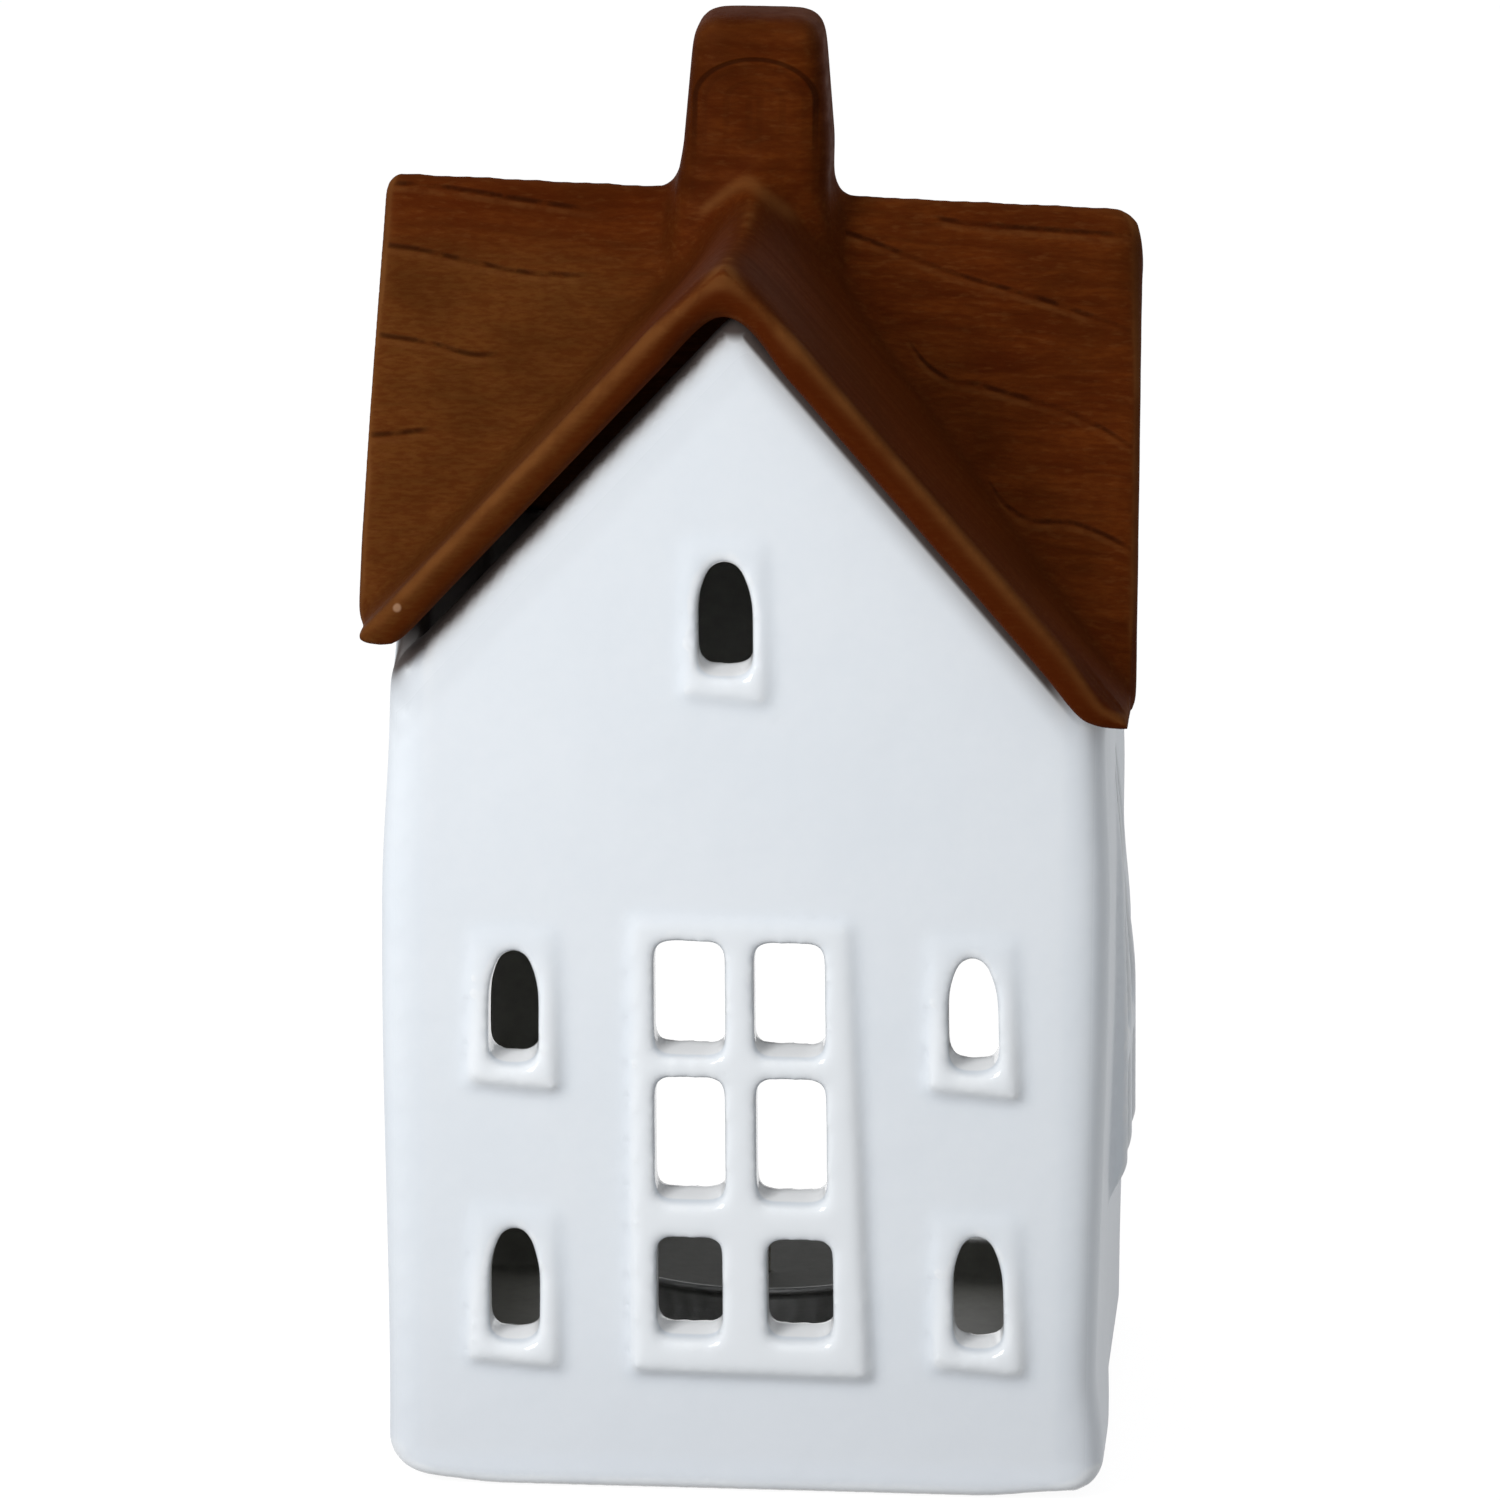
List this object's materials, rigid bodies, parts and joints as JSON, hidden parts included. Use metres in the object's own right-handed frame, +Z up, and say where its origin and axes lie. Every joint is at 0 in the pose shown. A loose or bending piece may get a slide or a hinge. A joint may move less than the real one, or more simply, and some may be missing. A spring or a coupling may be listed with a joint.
{
  "type": "tealight house",
  "caption": "White glazed ceramic house with pierced windows, a lift-off wood-look roof with a chimney, and a tealight that goes in through the open back.",
  "frame": {"origin": "on the surface that the house stands on, under the centre of its body and of the roof's plan", "axes": "+Z up, the windowed front faces -Y, and +X is the right side seen from the front"},
  "size_m": [0.0896, 0.09, 0.1657],
  "materials": {
    "white_glaze": "glossy white glaze with softened edges",
    "brown_glaze": "satin brown with a stained wood grain",
    "cup_aluminium": "thin pressed sheet",
    "wax": "smooth white candle wax",
    "tab_steel": "plain pressed sheet",
    "wick_cotton": "braided waxed cotton"
  },
  "bodies": {
    "house": {"house_body": "white_glaze"},
    "roof": {"roof_lid": "brown_glaze"},
    "tealight": {"tealight_cup": "cup_aluminium", "tealight_wax": "wax", "wick_tab": "tab_steel", "wick": "wick_cotton"}
  },
  "joints": [
    {"name": "roof_lift", "type": "slide", "parent": "house", "child": "roof", "axis": [0, 0, 1], "range_m": [0, 0.06]},
    {"name": "tealight_out", "type": "slide", "parent": "house", "child": "tealight", "axis": [0, 0.9397, 0.342], "range_m": [0, 0.07]}
  ]
}
